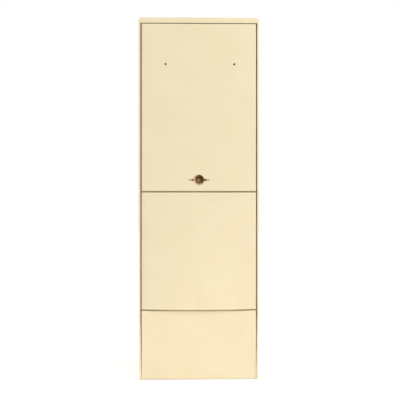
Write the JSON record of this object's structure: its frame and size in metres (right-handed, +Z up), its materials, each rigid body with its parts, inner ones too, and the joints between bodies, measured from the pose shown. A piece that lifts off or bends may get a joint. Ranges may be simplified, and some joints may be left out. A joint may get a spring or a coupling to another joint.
{
  "type": "roadside utility cabinet",
  "caption": "Tall ivory moulded roadside service cabinet on its base, with a top-hung door locked at its bottom edge, plain front panels and pull-out fuse carriers inside.",
  "frame": {"origin": "middle of the footprint, on the ground", "axes": "+Z up, front faces -Y, +X to the right of someone facing the front"},
  "size_m": [0.35, 0.23, 1.056],
  "materials": {
    "ivory_polyester": "satin",
    "grey_laminate": "matte",
    "black_moulding": "satin",
    "grey_moulding": "satin",
    "blue_moulding": "satin",
    "bronze": "satin",
    "zinc_plate": "satin",
    "galvanised_steel": "matte",
    "brass": "satin",
    "copper": "satin",
    "fuse_ceramic": "matte",
    "clear_polycarbonate": "gloss"
  },
  "bodies": {
    "cabinet": {"cabinet_shell": "ivory_polyester", "base_plinth": "ivory_polyester", "base_cover": "ivory_polyester", "lower_panel": "ivory_polyester", "crossbar": "galvanised_steel", "crossbar_screws": "zinc_plate", "panel_turn_screws": "zinc_plate", "frame_bolts": "zinc_plate", "frame_nuts": "zinc_plate", "mounting_board": "grey_laminate", "board_screws": "zinc_plate", "device_rail": "galvanised_steel", "device_rail_screws": "zinc_plate", "fuse_base": "grey_moulding", "fuse_base_screws": "zinc_plate", "fuse_terminal_screws": "brass", "fuse_contacts": "copper", "terminal_base": "black_moulding", "terminal_base_screws": "zinc_plate", "terminal_plates": "copper", "terminal_studs": "zinc_plate", "terminal_nuts": "brass", "terminal_cover": "clear_polycarbonate", "earth_posts": "black_moulding", "earth_bar": "copper", "earth_screws": "zinc_plate", "cable_rail": "galvanised_steel", "cable_rail_screws": "zinc_plate"},
    "door": {"door": "ivory_polyester", "door_pivot_pins": "black_moulding", "lock_cup": "bronze", "lock_nut": "zinc_plate"},
    "lock": {"lock_spindle": "bronze", "spindle_clip": "zinc_plate", "lock_cam": "zinc_plate", "cam_screw": "zinc_plate"},
    "carrier_1": {"fuse_carrier_1": "black_moulding", "fuse_link_1": "fuse_ceramic"},
    "carrier_2": {"fuse_carrier_2": "black_moulding", "fuse_link_2": "fuse_ceramic"},
    "carrier_3": {"fuse_carrier_3": "black_moulding", "fuse_link_3": "fuse_ceramic"},
    "carrier_neutral": {"neutral_carrier": "blue_moulding", "neutral_link": "copper"}
  },
  "joints": [
    {"name": "door_swing", "type": "hinge", "parent": "cabinet", "child": "door", "pos_m": [0, -0.0965, 1.0305], "axis": [-1, 0, 0], "range_deg": [0, 95]},
    {"name": "lock_turn", "type": "hinge", "parent": "door", "child": "lock", "pos_m": [0, -0.0872, 0.581], "axis": [0, 1, 0], "range_deg": [0, 90]},
    {"name": "carrier_1_pull", "type": "slide", "parent": "cabinet", "child": "carrier_1", "axis": [0, -1, 0], "range_m": [0, 0.06]},
    {"name": "carrier_2_pull", "type": "slide", "parent": "cabinet", "child": "carrier_2", "axis": [0, -1, 0], "range_m": [0, 0.06]},
    {"name": "carrier_3_pull", "type": "slide", "parent": "cabinet", "child": "carrier_3", "axis": [0, -1, 0], "range_m": [0, 0.06]},
    {"name": "carrier_neutral_pull", "type": "slide", "parent": "cabinet", "child": "carrier_neutral", "axis": [0, -1, 0], "range_m": [0, 0.06]}
  ]
}
